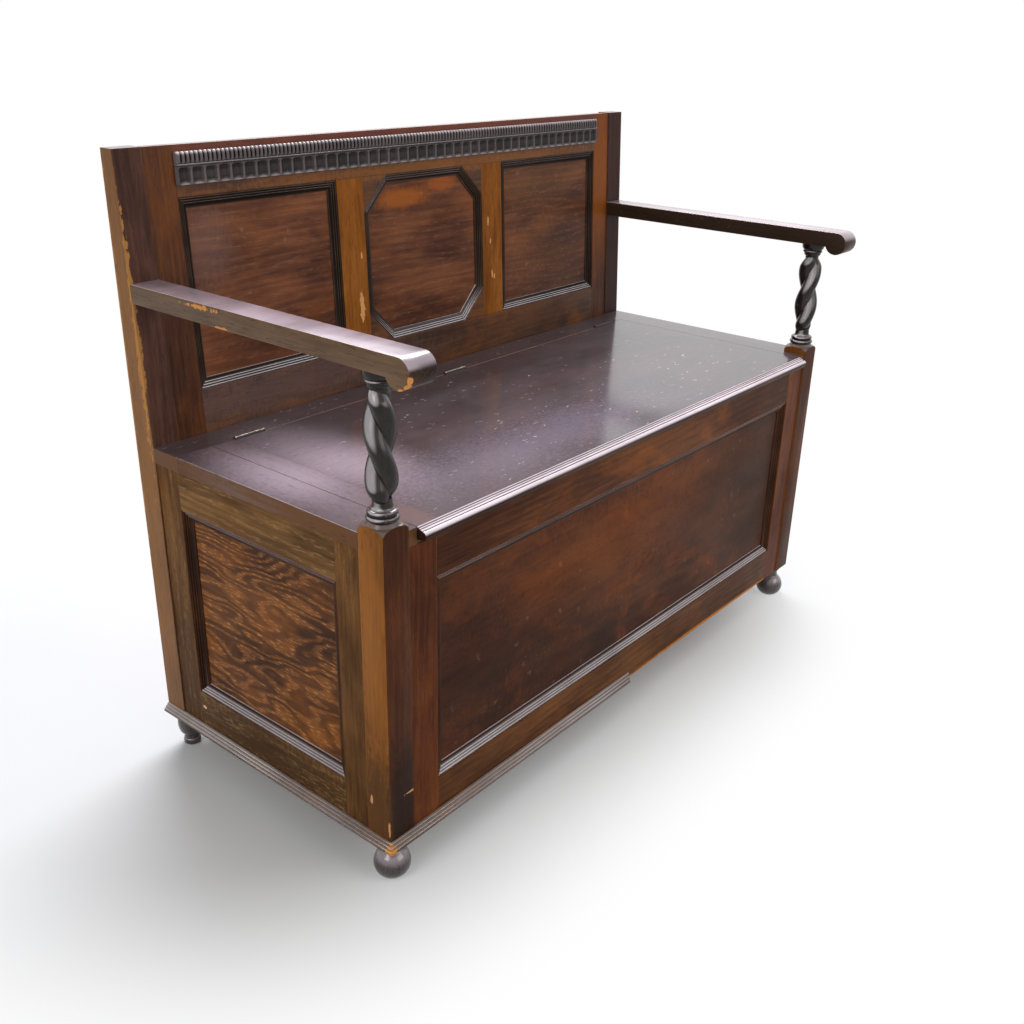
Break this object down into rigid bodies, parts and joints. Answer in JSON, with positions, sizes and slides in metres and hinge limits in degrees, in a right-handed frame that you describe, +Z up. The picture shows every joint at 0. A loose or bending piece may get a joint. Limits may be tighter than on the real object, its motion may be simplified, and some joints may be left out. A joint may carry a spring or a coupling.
{
  "type": "settle bench",
  "caption": "Oak box settle: panelled chest under a hinged seat lid, raked panelled back with carved frieze, flat arms on barley twist posts, ball feet.",
  "frame": {"origin": "on the floor, midway between the ends of the base moulding across and midway between the arm scrolls and the back of the rear posts front to back", "axes": "+X along the seat towards the sitter's left, +Y from the front towards the back, +Z up"},
  "size_m": [1.088, 0.515, 0.86],
  "materials": {
    "frame_oak": "dark brown stained oak, worn shellac polish",
    "end_oak": "dark stained oak faded to warm brown, worn polish",
    "muntin_oak": "stained oak rubbed to orange-brown on its edges",
    "panel_oak": "red-brown stained flat-sawn oak, worn polish",
    "moulding_oak": "near-black stained moulding, worn on its high edges",
    "seat_oak": "near-black brown gloss polish, scratched and rubbed",
    "turned_oak": "near-black gloss polish, brown where rubbed",
    "arm_oak": "near-black polish, chipped to light oak on the scrolls",
    "carved_oak": "charcoal stain with pale worn edges",
    "foot_oak": "near-black stained turning, scuffed",
    "inner_oak": "plain unpolished boards, thin brown stain",
    "hinge_steel": "bare steel, dulled"
  },
  "bodies": {
    "settle": {"back_bottom_rail": "frame_oak", "back_centre_moulding": "moulding_oak", "back_centre_panel": "panel_oak", "back_corner_blocks": "moulding_oak", "back_left_moulding": "moulding_oak", "back_left_muntin": "muntin_oak", "back_left_panel": "panel_oak", "back_left_stile": "frame_oak", "back_right_moulding": "moulding_oak", "back_right_muntin": "muntin_oak", "back_right_panel": "panel_oak", "back_right_stile": "frame_oak", "back_top_rail": "frame_oak", "bottom_board": "inner_oak", "frieze": "carved_oak", "front_base_moulding": "moulding_oak", "front_bottom_rail": "frame_oak", "front_feet": "foot_oak", "front_left_stile": "frame_oak", "front_panel": "panel_oak", "front_panel_moulding": "moulding_oak", "front_right_stile": "frame_oak", "front_top_rail": "frame_oak", "hinge_fixed_leaves": "hinge_steel", "left_arm": "arm_oak", "left_base_moulding": "moulding_oak", "left_end_bottom_rail": "end_oak", "left_end_front_stile": "end_oak", "left_end_moulding": "moulding_oak", "left_end_panel": "panel_oak", "left_end_rear_stile": "end_oak", "left_end_top_rail": "end_oak", "left_front_post": "turned_oak", "left_rear_post": "frame_oak", "rear_board": "inner_oak", "rear_bottom_rail": "inner_oak", "rear_feet": "foot_oak", "rear_seat_rail": "inner_oak", "right_arm": "arm_oak", "right_base_moulding": "moulding_oak", "right_end_bottom_rail": "end_oak", "right_end_front_stile": "end_oak", "right_end_moulding": "moulding_oak", "right_end_panel": "panel_oak", "right_end_rear_stile": "end_oak", "right_end_top_rail": "end_oak", "right_front_post": "turned_oak", "right_rear_post": "frame_oak", "seat_left_strip": "seat_oak", "seat_rear_strip": "seat_oak", "seat_right_strip": "seat_oak"},
    "lid": {"lid_board": "seat_oak", "lid_left_clamp": "seat_oak", "lid_right_clamp": "seat_oak", "lid_nosing": "seat_oak", "hinge_lid_leaves": "hinge_steel"}
  },
  "joints": [
    {"name": "lid_hinge", "type": "hinge", "parent": "settle", "child": "lid", "pos_m": [0, 0.1686, 0.4855], "axis": [-1, 0, 0], "range_deg": [0, 98]}
  ]
}
